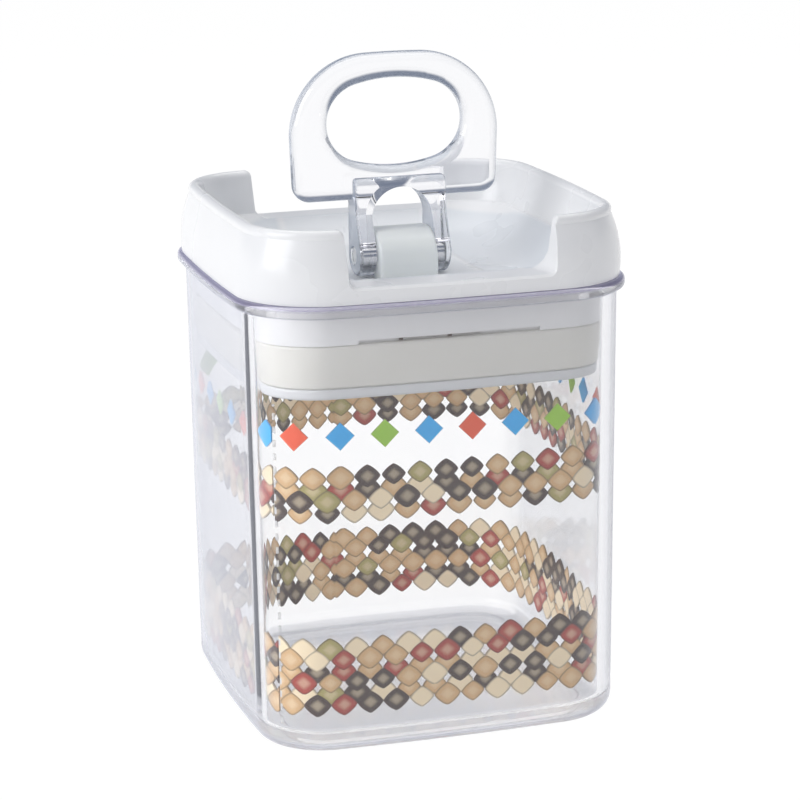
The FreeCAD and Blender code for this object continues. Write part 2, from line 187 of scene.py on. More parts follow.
class LidSizes(PropertyGroup):
    """Sizes of the white cover and of the gasket."""
    overhang: length("Overhang", "How far the lower edge stands out from the canister's wall", 0.000725)
    corner_radius: length("Corner radius", "Round corners, seen from above", 0.0158)
    bow: length("Bow", "How far a side bulges past a flat one", 0.00142)
    wall: length("Wall", "Thickness of the skirt", 0.002)
    lean: length("Lean", "How far the outer wall leans in", 0.0017)
    belly_height: length("Belly height", "Where the outer wall bulges most", 0.0081)
    belly_lean: length("Belly lean", "How far it stands in there", 0.0005)
    ridge_width: length("Ridge width", "Width of the round top of the raised sides", 0.002)
    ridge_drop: length("Ridge drop", "Height of that round top", 0.0016)
    side_thickness: length("Side thickness", "Raised side at the edge of the dish", 0.0054)
    dish_edge: length("Dish edge", "Height of the dish's edge above the rim", 0.0047)
    dish_ledge: length("Dish ledge", "Narrow flat round the dish", 0.0005)
    dish_depth: length("Dish depth", "Edge of the dish down to its middle", 0.0067)
    dish_wall: length("Dish wall", "Thickness of the dish", 0.002)
    dish_middle: length("Dish middle", "Width of its flat middle", 0.030)
    dish_middle_radius: length("Dish middle radius", "Corners of the flat middle", 0.0126)
    dish_curve: FloatProperty(name="Dish curve", description="Steepness of the dish near its edge",
                              default=3.3)
    gap_width: length("Gap width", "Opening in the raised side, front and back", 0.0386)
    front_sill: length("Front sill", "Height of the front opening's sill above the rim", 0.003)
    back_sill: length("Back sill", "Height of the back opening's sill above the rim", 0.0038)
    gap_depth: length("Gap depth", "How far the openings run in over the dish", 0.014)
    gap_corner: length("Gap corner", "Round lower corners of the openings", 0.0016)
    gap_top: length("Gap top", "Round upper ends of the openings", 0.0012)
    gap_draft: length("Gap draft", "How far the opening's ends lean out", 0.0003)
    gap_edge: length("Gap edge", "Rounding of the opening's edges", 0.0005)
    flange: length("Flange", "Height of the inner lid's flange under the cover", 0.0016)
    seat: length("Seat", "Thin gap between the cover's lower edge and the rim", 0.00006)
    stem_room: length("Stem room", "Round the stem in its slot", 0.0003)
    gasket_taper: length("Gasket taper", "How far its lower edge stands in", 0.0005)
    gasket_width: length("Gasket width", "Width of its upper face", 0.006)
    gasket_foot: length("Gasket foot", "Width of its lower face", 0.0052)
    gasket_radius: length("Gasket radius", "Round edges of the gasket", 0.0006)
    # The band carries less of the dish's painted shade, with a painted highlight along each edge, and is
    # raised as a relief
    band: length("Band", "Half the width of the paler band across the dish", 0.0152)
    plate_inset: length("Plate inset", "From the plug to the edge of the press plate", 0.0006)
    plate_radius: length("Plate radius", "Round edges of the press plate", 0.0005)
    plug_inset: length("Plug inset", "From the canister's outline at the rim to the plug", 0.0029142)


class Finishes(PropertyGroup):
    """Colours of the materials."""
    clear: colour("Clear plastic", "Tint of the clear walls", (0.994, 0.995, 0.997))
    depth: colour("Depth", "What deep clear plastic lets through", (0.0, 0.02, 0.42))
    # Painted lavender sheen on the top of the canister's rim
    rim_sheen: colour("Veil", "Haze at the top of the canister's rim", (0.50, 0.46, 0.70))
    # Painted dark edges on the clear walls and on the handle where they turn away
    edge: colour("Edge", "Haze of the clear walls where they turn away", (0.50, 0.53, 0.66))
    grip_edge_shade: colour("Grip edge", "Haze of the clear handle where it turns away", (0.42, 0.47, 0.56))
    white: colour("White plastic", "Moulded lid", (0.88, 0.885, 0.9))
    # Painted shade over the lid's dish
    dish: colour("Dish", "White plastic inside the lid's dish", (0.77, 0.80, 0.84))
    plug: colour("Inner lid", "White plastic of the inner lid", (0.79, 0.79, 0.80))
    # Painted shade inside the inner lid's slits
    vent_shade: colour("Vent", "Shaded inside of the inner lid's slits", (0.10, 0.06, 0.04))
    gasket: colour("Gasket", "Soft ring", (0.73, 0.72, 0.685))
    plate: colour("Press plate", "Plate under the gasket", (0.66, 0.67, 0.69))
    stem: colour("Stem", "Milky block that carries the pin", (0.865, 0.9, 0.9))
    steel: colour("Steel", "Hinge pin", (0.84, 0.84, 0.85))
    tan: colour("Tan", "Print", (0.68, 0.44, 0.22))
    cream: colour("Cream", "Print", (0.93, 0.78, 0.55))
    brown: colour("Dark brown", "Print", (0.05, 0.024, 0.02))
    red: colour("Red brown", "Print", (0.42, 0.045, 0.03))
    olive: colour("Olive", "Print", (0.42, 0.36, 0.13))
    scarlet: colour("Scarlet", "Print accent", (0.85, 0.10, 0.03))
    sky: colour("Sky", "Print accent", (0.02, 0.45, 0.92))
    leaf: colour("Leaf", "Print accent", (0.34, 0.62, 0.05))
    floor: colour("Floor", "Pale floor", (0.97, 0.97, 0.975))


class StageSettings(PropertyGroup):
    """Camera and light."""
    azimuth: FloatProperty(name="Azimuth", description="Camera turned from the front, to the right",
                           default=math.radians(-16.67), subtype="ANGLE")
    elevation: FloatProperty(name="Elevation", description="Camera above the level",
                             default=math.radians(14.29), subtype="ANGLE")
    roll: FloatProperty(name="Roll", description="Camera tilted about its own line of sight",
                        default=math.radians(-0.76), subtype="ANGLE")
    distance: length("Distance", "Camera to its target", 0.5261)
    target: length("Target", "Height of the camera's target", 0.05657)
    lens: FloatProperty(name="Lens", description="Focal length in millimetres", default=123.6)
    shift_x: FloatProperty(name="Shift X", description="Sideways shift of the frame", default=0.0038)
    shift_y: FloatProperty(name="Shift Y", description="Upward shift of the frame", default=0.0004)
    ambient: FloatProperty(name="Ambient", description="Even light from all round", default=0.46)
    key: FloatProperty(name="Key", description="Power of the large lamp on the left", default=5.7,
                       unit="POWER")
    fill: FloatProperty(name="Fill", description="Power of the lamp on the right", default=0.5,
                        unit="POWER")
    top: FloatProperty(name="Top", description="Power of the lamp above", default=2.4, unit="POWER")


# Materials

class Value:
    """A number socket that can stand in sums: each operation adds a Math node."""

    def __init__(self, graph, socket):
        self.graph = graph
        self.socket = socket

    def __add__(self, other):
        return self.graph.math("ADD", self, other)

    __radd__ = __add__

    def __sub__(self, other):
        return self.graph.math("SUBTRACT", self, other)

    def __rsub__(self, other):
        return self.graph.math("SUBTRACT", other, self)

    def __mul__(self, other):
        return self.graph.math("MULTIPLY", self, other)

    __rmul__ = __mul__

    def __truediv__(self, other):
        return self.graph.math("DIVIDE", self, other)

    def __pow__(self, other):
        return self.graph.math("POWER", self, other)

    def __gt__(self, other):
        return self.graph.math("GREATER_THAN", self, other)

    def __lt__(self, other):
        return self.graph.math("LESS_THAN", self, other)

    def __abs__(self):
        return self.graph.math("ABSOLUTE", self)

    def __floor__(self):
        return self.graph.math("FLOOR", self)

    def larger(self, other):
        return self.graph.math("MAXIMUM", self, other)

    def ramp(self, low, high):
        """Smooth step from 0 at low to 1 at high."""
        node = self.graph.add("ShaderNodeMapRange", {"interpolation_type": "SMOOTHSTEP"},
                              {"Value": self, "From Min": low, "From Max": high})
        return Value(self.graph, node.outputs["Result"])


class Graph:
    """The nodes of one material or of the world."""

    def __init__(self, tree):
        self.tree = tree
        tree.nodes.clear()

    def add(self, kind, settings=None, sockets=None):
        """A node of this kind, with its settings first and then what feeds its sockets."""
        node = self.tree.nodes.new(kind)
        for key, setting in (settings or {}).items():
            if key == "stops":
                self.set_stops(node.color_ramp, setting)
            else:
                setattr(node, key, setting)
        for key, source in (sockets or {}).items():
            self.feed(node.inputs[key], source)
        return node

    def feed(self, socket, source):
        if isinstance(source, Value):
            self.tree.links.new(source.socket, socket)
        elif isinstance(source, bpy.types.NodeSocket):
            self.tree.links.new(source, socket)
        else:
            socket.default_value = source

    @staticmethod
    def set_stops(ramp, stops):
        ramp.interpolation = "CONSTANT"
        while len(ramp.elements) < len(stops):
            ramp.elements.new(1.0)
        for element, (place, tint) in zip(ramp.elements, stops):
            element.position = place
            element.color = rgba(tint)

    def math(self, operation, *values):
        node = self.add("ShaderNodeMath", {"operation": operation}, dict(enumerate(values)))
        return Value(self, node.outputs[0])

    def mix(self, factor, first, second):
        """Colour between two colours."""
        node = self.add("ShaderNodeMix", {"data_type": "RGBA"}, {0: factor, 6: first, 7: second})
        return node.outputs[2]

    def parts(self, vector):
        """The X, Y and Z of a vector."""
        node = self.add("ShaderNodeSeparateXYZ", None, {0: vector})
        return [Value(self, part) for part in node.outputs]

    def place(self):
        """X, Y and Z on the piece."""
        return self.parts(self.add("ShaderNodeTexCoord").outputs["Object"])

    def noise(self, scale, detail=2.0, coordinates=None):
        """Noise over the piece, about one feature in each 1/scale metres."""
        if coordinates is None:
            coordinates = self.add("ShaderNodeTexCoord").outputs["Object"]
        sockets = {"Vector": coordinates, "Scale": scale, "Detail": detail}
        return Value(self, self.add("ShaderNodeTexNoise", None, sockets).outputs[0])

    def bump(self, height, distance):
        node = self.add("ShaderNodeBump", None, {"Height": height, "Distance": distance, "Strength": 1.0})
        return node.outputs["Normal"]


def rgba(tint):
    return (tint[0], tint[1], tint[2], 1.0)


def new_material(name):
    material = bpy.data.materials.new(name)
    material.use_nodes = True
    return material, Graph(material.node_tree)


def finish_material(graph, sockets):
    """Adds the shader and the output."""
    shader = graph.add("ShaderNodeBsdfPrincipled", None, sockets)
    graph.add("ShaderNodeOutputMaterial", None, {"Surface": shader.outputs[0]})


def window(value, low, high, soft):
    """1 between two values, with soft ends."""
    return value.ramp(low - soft, low + soft) * (1.0 - value.ramp(high - soft, high + soft))


def clear_plastic(name, tint, depth_tint, density, edge, painted_sheens=(), windows=()):
    """Polished clear plastic: faint moulding waves and smudges, darker in its depth.

    The edge (tint, power, strength) is a haze that paints darker edges where the surface turns away. Each
    painted sheen (low, high, strength, tint) is a band of painted light between two heights, and each
    window (low, high, amount) a band that lets more light straight through.
    """
    material, graph = new_material(name)
    _, _, height = graph.place()
    smudge = graph.noise(55.0, 4.0)
    wave = graph.noise(38.0, 1.0)
    solid = 1.0
    for low, high, amount in windows:
        solid = solid - window(height, low, high, BAND_SOFTNESS) * amount
    surface = graph.add("ShaderNodeBsdfPrincipled", None, {
        "Base Color": rgba(tint),
        "Alpha": solid,
        "Roughness": smudge.ramp(0.45, 0.8) * 0.03 + 0.004,
        "IOR": CLEAR_IOR,
        "Transmission Weight": 1.0,
        "Normal": graph.bump(wave, 0.00006),
    })
    # The edge tint paints darker edges where the surface turns away
    edge_shade_tint, edge_power, edge_strength = edge
    turned = Value(graph, graph.add("ShaderNodeLayerWeight", None, {"Blend": 0.5}).outputs["Facing"])
    outside = 1.0 - Value(graph, graph.add("ShaderNodeNewGeometry").outputs["Backfacing"])
    layers = [(turned ** edge_power * outside * edge_strength, edge_shade_tint)]
    # Painted lavender sheens in bands between two heights
    for low, high, strength, sheen_tint in painted_sheens:
        layers.append((window(height, low, high, BAND_SOFTNESS) * strength, sheen_tint))
    for painted_share, painted_tint in layers:
        painted_layer = graph.add("ShaderNodeBsdfPrincipled", None, {
            "Base Color": rgba(painted_tint),
            "Roughness": smudge * 0.1 + 0.2,
            "IOR": CLEAR_IOR,
        })
        surface = graph.add("ShaderNodeMixShader", None,
                            {0: painted_share, 1: surface.outputs[0], 2: painted_layer.outputs[0]})
    depth = graph.add("ShaderNodeVolumeAbsorption", None, {"Color": rgba(depth_tint), "Density": density})
    graph.add("ShaderNodeOutputMaterial", None,
              {"Surface": surface.outputs[0], "Volume": depth.outputs[0]})
    return material


def moulded_plastic(name, tint, roughness, grain, coat=0.0, milky=0.0, painted_shade=None, relief=None):
    """Moulded plastic: faint cloudy colour, satin grain, soft flow marks.

    A painted shade (function, tint) paints shade of that tint on the places for which the function of x,
    y and z gives 1, and a relief (function, depth) raises such places.
    """
    material, graph = new_material(name)
    cloud = graph.noise(45.0, 3.0)
    marks = cloud
    base = rgba(tint)
    place = graph.place()
    if painted_shade is not None:
        mask, shade_tint = painted_shade
        base = graph.mix(mask(*place), base, rgba(shade_tint))
    if relief is not None:
        mask, depth = relief
        marks = cloud + mask(*place) * (depth / grain)
    darker = graph.add("ShaderNodeMix", {"data_type": "RGBA", "blend_type": "MULTIPLY"},
                       {0: 1.0, 6: base, 7: rgba((0.985, 0.985, 0.985))})
    finish_material(graph, {
        "Base Color": graph.mix(cloud.ramp(0.35, 0.75), base, darker.outputs[2]),
        "Roughness": cloud * 0.08 + (roughness - 0.04),
        "IOR": MOULDED_IOR,
        "Coat Weight": coat,
        "Coat Roughness": 0.12,
        "Subsurface Weight": milky,
        "Subsurface Radius": (0.004, 0.004, 0.0035),
        "Subsurface Scale": 0.5,
        "Normal": graph.bump(marks, grain),
    })
    return material


def turned_steel(name, tint):
    """Bright steel with fine marks round the pin."""
    material, graph = new_material(name)
    x, _, _ = graph.place()
    along = graph.add("ShaderNodeCombineXYZ", None, {"X": x})
    rings = graph.noise(9000.0, 3.0, along.outputs[0])
    finish_material(graph, {
        "Base Color": graph.mix(rings, rgba(tint), rgba([0.8 * part for part in tint])),
        "Metallic": 1.0,
        "Roughness": rings * 0.1 + 0.08,
        "Normal": graph.bump(rings, 0.00001),
    })
    return material


def lozenges(graph, around, height, tints, seed):
    """Staggered rows of lozenges that fill the borders: where they are, and their colours."""
    width, row_height = LOZENGE_CELL
    row_at = height / row_height + seed * 0.5
    row = math.floor(row_at)
    shift = graph.math("MODULO", row, 2.0) * 0.5 + seed * 0.5
    column_at = around / width + shift
    column = math.floor(column_at)
    across = abs((column_at - column) * 2.0 - 1.0)
    upright = abs((row_at - row) * 2.0 - 1.0)
    spot = graph.add("ShaderNodeCombineXYZ", None, {"X": column, "Y": row, "Z": seed})
    chance = graph.add("ShaderNodeTexWhiteNoise", {"noise_dimensions": "3D"}, {"Vector": spot.outputs[0]})
    parts = graph.add("ShaderNodeSeparateColor", None, {0: chance.outputs["Color"]})
    pick = Value(graph, parts.outputs[0])
    spread = Value(graph, parts.outputs[2])
    level = (row + (0.5 - seed * 0.5)) * row_height
    present = sum((level > low) * (level < high) for low, high in LOZENGE_BORDERS)
    size = spread * 0.25 + 0.85
    reach = (across ** LOZENGE_POWER + upright ** LOZENGE_POWER) / size
    inside = 1.0 - reach.ramp(0.97, 1.03)
    palette = [tints.tan, tints.brown, tints.cream, tints.tan, tints.brown, tints.red, tints.cream,
               tints.tan, tints.brown, tints.olive]
    stops = [(number / len(palette), tint) for number, tint in enumerate(palette)]
    ink = graph.add("ShaderNodeValToRGB", {"stops": stops}, {0: pick}).outputs[0]
    ink = graph.mix((1.0 - reach.ramp(0.1, 0.6)) * 0.4, ink, rgba(tints.cream))
    ink = graph.mix(reach.ramp(0.7, 1.0) * 0.6, ink, rgba(tints.brown))
    return inside * present, ink


def in_turn(graph, number, tints):
    """The colours of a list one after another, over and over."""
    stops = [(place / len(tints), tint) for place, tint in enumerate(tints)]
    turn = (graph.math("MODULO", number, float(len(tints))) + 0.5) / float(len(tints))
    return graph.add("ShaderNodeValToRGB", {"stops": stops}, {0: turn}).outputs[0]


def printed_film(name, tints):
    """Clear film with two borders of lozenges all round and a chain of diamonds above the upper one."""
    material, graph = new_material(name)
    seam_at, height, _ = graph.parts(graph.add("ShaderNodeUVMap", {"uv_map": "film"}).outputs[0])
    under, under_ink = lozenges(graph, seam_at, height, tints, 0.0)
    over, over_ink = lozenges(graph, seam_at, height, tints, 1.0)
    ink = graph.mix(over, under_ink, over_ink)
    printed = over.larger(under)
    chain_at = seam_at / DIAMOND_PITCH
    number = math.floor(chain_at)
    across = abs((chain_at - number) * 2.0 - 1.0) * (DIAMOND_PITCH / 2)
    diamonds = 1.0 - (across + abs(height - DIAMOND_HEIGHT)).ramp(*DIAMOND_EDGE)
    chain_tints = [tints.scarlet, tints.sky, tints.leaf, tints.sky]
    ink = graph.mix(diamonds, ink, in_turn(graph, number, chain_tints))
    printed = printed.larger(diamonds)
    dash_at = height * DASHES_PER_METRE
    dashes = window(dash_at - math.floor(dash_at), *DASH_FILLED) * window(seam_at, *SEAM_ZONE)
    ink = graph.mix(dashes, ink, rgba(tints.plate))
    printed = printed.larger(dashes * 0.7)
    finish_material(graph, {
        "Base Color": ink,
        "Roughness": graph.noise(300.0) * 0.1 + 0.3,
        "IOR": MOULDED_IOR,
        "Alpha": printed * 0.95 + 0.006,
    })
    return material


# Meshes

class Station:
    """A place on an outline: on a side, from -1 to 1, or on the corner after it, from 0 to 1."""

    def __init__(self, quarter, corner, share, fixed=None, cut=None):
        self.quarter = quarter
        self.corner = corner
        self.share = share
        self.fixed = fixed
        self.cut = cut

    def plain(self):
        return Station(self.quarter, self.corner, self.share)


class Outline:
    """Square with bowed sides and round corners, seen from above."""

    def __init__(self, width, radius, bow):
        half = width / 2
        self.radius = radius
        self.side_radius = (half ** 2 + bow ** 2) / (2 * bow)
        self.side_centre = self.side_radius - half
        reach = math.sqrt(2 * (self.side_radius - radius) ** 2 - self.side_centre ** 2)
        self.corner_centre = (reach - self.side_centre) / 2
        self.join = math.atan2(self.corner_centre, self.side_centre + self.corner_centre)

    def side_reach(self, inset):
        """Half the length of a side, measured straight across."""
        return (self.side_radius - inset) * math.sin(self.join)

    def at(self, station, inset, z):
        if station.corner:
            angle = self.join + station.share * (math.pi / 2 - 2 * self.join)
            reach = self.radius - inset
            point = Vector((self.corner_centre + reach * math.sin(angle),
                            -self.corner_centre - reach * math.cos(angle), z))
        else:
            across = station.fixed
            if across is None:
                across = station.share * self.side_reach(inset)
            bulge = math.sqrt((self.side_radius - inset) ** 2 - across ** 2)
            point = Vector((across, self.side_centre - bulge, z))
        return Matrix.Rotation(station.quarter * math.pi / 2, 3, "Z") @ point


def along_side(quarter):
    return [Station(quarter, False, 2 * step / SIDE_STEPS - 1) for step in range(1, SIDE_STEPS)]


def along_corner(quarter):
    return [Station(quarter, True, step / CORNER_STEPS) for step in range(CORNER_STEPS + 1)]


def all_round():
    """Stations round an outline, beginning at the left end of the front side."""
    stations = []
    for quarter in range(4):
        stations += along_side(quarter) + along_corner(quarter)
    return stations


def swept_round(outline, line, inset=0.0):
    """Loops of points round an outline, one for each point (inset, height) of a line."""
    stations = all_round()
    return [[outline.at(station, inset + across, z) for station in stations] for across, z in line]


def rounded(corners, steps=ROUND_STEPS):
    """Open line through corners given as (across, up, radius), with each corner rounded."""
    points = [Vector(corner[:2]) for corner in corners]
    line = [points[0]]
    for before, corner, after, (_, _, radius) in zip(points, points[1:], points[2:], corners[1:]):
        arriving = (corner - before).normalized()
        leaving = (after - corner).normalized()
        turn = arriving.angle_signed(leaving)
        back = radius * math.tan(abs(turn) / 2)
        start = corner - arriving * back
        side = math.copysign(1, turn)
        centre = start + Vector((arriving.y, -arriving.x)) * radius * side
        for step in range(steps + 1):
            line.append(centre + Matrix.Rotation(-turn * step / steps, 2) @ (start - centre))
    line.append(points[-1])
    return line


def arc_through(first, middle, last):
    """Points on the circle through three points, as (across, up)."""
    first, middle, last = Vector(first), Vector(middle), Vector(last)
    chord = last - first
    rise = middle - (first + last) / 2
    normal = Vector((-chord.y, chord.x)).normalized()
    along = chord.normalized()
    height = rise.dot(normal)
    skew = rise.dot(along)
    half = chord.length / 2
    centre_height = (half ** 2 - skew ** 2 - height ** 2) / (-2 * height)
    centre = (first + last) / 2 + normal * centre_height
    total = (first - centre).angle_signed(middle - centre) + (middle - centre).angle_signed(last - centre)
    turns = [Matrix.Rotation(-total * step / ARC_STEPS, 2) for step in range(ARC_STEPS + 1)]
    return [centre + turn @ (first - centre) for turn in turns]


def loft(name, loops, close_along, cap=False, sharp=35.0):
    """Mesh from closed loops of points in order, joined by faces."""
    shape = bmesh.new()
    rows = [[shape.verts.new(point) for point in loop] for loop in loops]
    pairs = list(zip(rows, rows[1:]))
    if close_along:
        pairs.append((rows[-1], rows[0]))
    for low, high in pairs:
        for spot in range(len(low)):
            after = (spot + 1) % len(low)
            shape.faces.new((low[spot], low[after], high[after], high[spot]))
    if cap:
        for row in (rows[0], rows[-1]):
            shape.faces.new(row)
    bmesh.ops.remove_doubles(shape, verts=shape.verts, dist=1e-6)
    bmesh.ops.recalc_face_normals(shape, faces=shape.faces)
    mesh = bpy.data.meshes.new(name)
    shape.to_mesh(mesh)
    shape.free()
    mesh.shade_smooth()
    mesh.set_sharp_from_angle(angle=math.radians(sharp))
    return mesh


def place_piece(mesh, material, body, node):
    """Puts a mesh into the scene as the piece that stands for a node."""
    piece = bpy.data.objects.new(mesh.name, mesh)
    bpy.context.scene.collection.objects.link(piece)
    mesh.materials.append(material)
    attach(piece, body)
    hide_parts(node)
    return piece


def dress_node(node, material):
    """Gives a node that keeps its own shape a better material."""
    for slot in frame["nodes"][node].material_slots:
        slot.material = material


# Pieces

class MakeCanister(Operator):
    """Clear box with bowed sides, a round rim and a hollow base"""
    bl_idname = "canister.make_canister"
    bl_label = "Make canister"

    def execute(self, context):
        size = context.scene.canister_sizes
        tints = context.scene.canister_finishes
        outline = Outline(size.top_width, size.corner_radius, size.bow)
        rim_low = RIM_TOP - size.rim_height
        foot = size.lean + size.foot_ring
        ease = 0.0003
        line = rounded([
            (foot + size.wall, size.foot_recess, 0),
            (foot, size.foot_recess, ease),
            (foot, 0, ease),
            (size.lean, 0, size.base_radius),
            (0, rim_low, 2 * ease),
            (-size.rim_overhang, rim_low, size.rim_radius),
            (-size.rim_overhang, RIM_TOP, size.rim_radius),
            (size.wall, RIM_TOP, 2 * ease),
            (size.wall + size.lean, size.floor, size.inner_radius),
            (size.wall + foot, size.floor, 0),
        ])
        mesh = loft("clear_canister", swept_round(outline, line), close_along=False, cap=True)
        lip = RIM_TOP - size.rim_radius
        # Painted lavender sheen over the rim's top
        painted_sheens = [(lip, 1.0, RIM_SHEEN, tints.rim_sheen)]
        windows = [(-1.0, size.floor + size.inner_radius / 2, FOOT_WINDOW), (rim_low, lip, RIM_WINDOW)]
        material = clear_plastic("clear_canister_plastic", tints.clear, tints.depth, CANISTER_DENSITY,
                                 (tints.edge, *CANISTER_EDGE_SHADE), painted_sheens, windows)
        piece = place_piece(mesh, material, "canister", "canister")
        piece.visible_shadow = False
        return {"FINISHED"}


class MakeSleeve(Operator):
    """Printed clear film rolled up inside the canister, with its seam at the front on the left"""
    bl_idname = "canister.make_sleeve"
    bl_label = "Make printed sleeve"

    def execute(self, context):
        size = context.scene.canister_sizes
        outline = Outline(size.top_width, size.corner_radius, size.bow)
        after_seam = [Station(3, True, SEAM_SHARE + (1 - SEAM_SHARE) * step / SEAM_STEPS_AFTER)
                      for step in range(SEAM_STEPS_AFTER)]
        before_seam = [Station(3, True, (SEAM_SHARE - SEAM_GAP_SHARE) * step / SEAM_STEPS_BEFORE)
                       for step in range(SEAM_STEPS_BEFORE + 1)]
        between = all_round()[:-len(along_corner(3))]
        stations = after_seam + [Station(0, False, -1)] + between + before_seam
        outside = size.wall + size.film_room

        def lean_at(z):
            return size.lean * (1 - z / RIM_TOP)

        tall = FILM_HIGH - FILM_LOW
        heights = [FILM_LOW + tall * step / FILM_LEVELS for step in range(FILM_LEVELS + 1)]
        loops = []
        for station in stations:
            outer = [outline.at(station, outside + lean_at(z), z) for z in heights]
            inner = [outline.at(station, outside + size.film + lean_at(z), z) for z in reversed(heights)]
            loops.append(outer + inner)
        mesh = loft("printed_film_sleeve", loops, close_along=False, cap=True, sharp=50.0)
        walked = [0.0]
        middles = [outline.at(station, outside, 0) for station in stations]
        for before, after in zip(middles, middles[1:]):
            walked.append(walked[-1] + (after - before).length)
        around = {}
        for loop, reached in zip(loops, walked):
            for loop_point in loop:
                around[self.key_of(loop_point)] = reached
        layer = mesh.uv_layers.new(name="film")
        for face_corner in mesh.loops:
            spot = mesh.vertices[face_corner.vertex_index].co
            layer.data[face_corner.index].uv = (around[self.key_of(spot)], spot.z - FILM_LOW)
        material = printed_film("printed_film", context.scene.canister_finishes)
        place_piece(mesh, material, "canister", "printed_sleeve")
        return {"FINISHED"}

    @staticmethod
    def key_of(point):
        """A point to the nearest thousandth of a millimetre, to look it up by."""
        return tuple(round(value, 6) for value in point)


def gap_stations(size, sill, quarter, side_edge):
    """Stations along a side with an opening: level sill, round corner, upright end, round top."""
    half = size.gap_width / 2
    level = half - size.gap_corner
    places = [(level * step / SILL_STEPS, sill) for step in range(SILL_STEPS + 1)]
    for step in range(1, ROUND_STEPS):
        angle = -math.pi / 2 * (1 - step / ROUND_STEPS)
        across = level + size.gap_corner * math.cos(angle)
        places.append((across, sill + size.gap_corner * (1 + math.sin(angle))))
    end_low = sill + size.gap_corner
    end_high = LID_TOP - size.gap_top
    for step in range(END_STEPS + 1):
        rise = step / END_STEPS
        places.append((half + size.gap_draft * rise, end_low + (end_high - end_low) * rise))
    for step in range(1, ROUND_STEPS):
        angle = math.pi / 2 * step / ROUND_STEPS
        across = half + size.gap_draft + size.gap_top * (1 - math.cos(angle))
        places.append((across, end_high + size.gap_top * math.sin(angle)))
    right = [Station(quarter, False, across / side_edge, across, cut) for across, cut in places]
    left = [Station(quarter, False, -across / side_edge, -across, cut)
            for across, cut in reversed(places[1:])]
    return left + right


def crossing(line, z):
    """Where a line of points first rises past a height."""
    for low, high in zip(line, line[1:]):
        if low.z <= z < high.z:
            return low.lerp(high, (z - low.z) / (high.z - low.z))
    return line[-1].copy()


def resample(line, count):
    """The same line with its points spread evenly."""
    reached = [0.0]
    for before, after in zip(line, line[1:]):
        reached.append(reached[-1] + (after - before).length)
    spread = []
    piece = 0
    for number in range(count):
        aim = reached[-1] * number / (count - 1)
        while piece < len(line) - 2 and reached[piece + 1] < aim:
            piece += 1
        part = (aim - reached[piece]) / max(reached[piece + 1] - reached[piece], 1e-9)
        spread.append(line[piece].lerp(line[piece + 1], part))
    return spread


def cut_level(outer, top, inner, height, radius):
    """Section cut off level at a height, its two new edges rounded; the point counts stay."""
    middle = len(top) // 2
    sides = (outer + top[:middle + 1], list(reversed(top[middle:] + inner)))
    ends = [crossing(side, height - radius) for side in sides]
    across = Vector((ends[1].x - ends[0].x, ends[1].y - ends[0].y, 0))
    reach = min(radius, 0.4 * across.length)
    centre = (ends[0] + ends[1]) / 2
    centre.z = height
    ridges = (top[:middle], list(reversed(top[middle + 1:])))
    halves = []
    for end, inward, ridge in zip(ends, (across, -across), ridges):
        inward = inward.normalized()
        line = [point for point in ridge if point.z < end.z] + [end]
        for step in range(1, ROUND_STEPS + 1):
            angle = math.pi / 2 * step / ROUND_STEPS
            line.append(end + inward * reach * (1 - math.cos(angle)) + UP * radius * math.sin(angle))
        halves.append(resample(line + [centre], middle + 1))
    new_top = halves[0] + list(reversed(halves[1]))[1:]
    new_outer = [point if point.z < ends[0].z else ends[0] for point in outer]
    new_inner = [point if point.z < ends[1].z else ends[1] for point in inner]
    return new_outer, new_top, new_inner


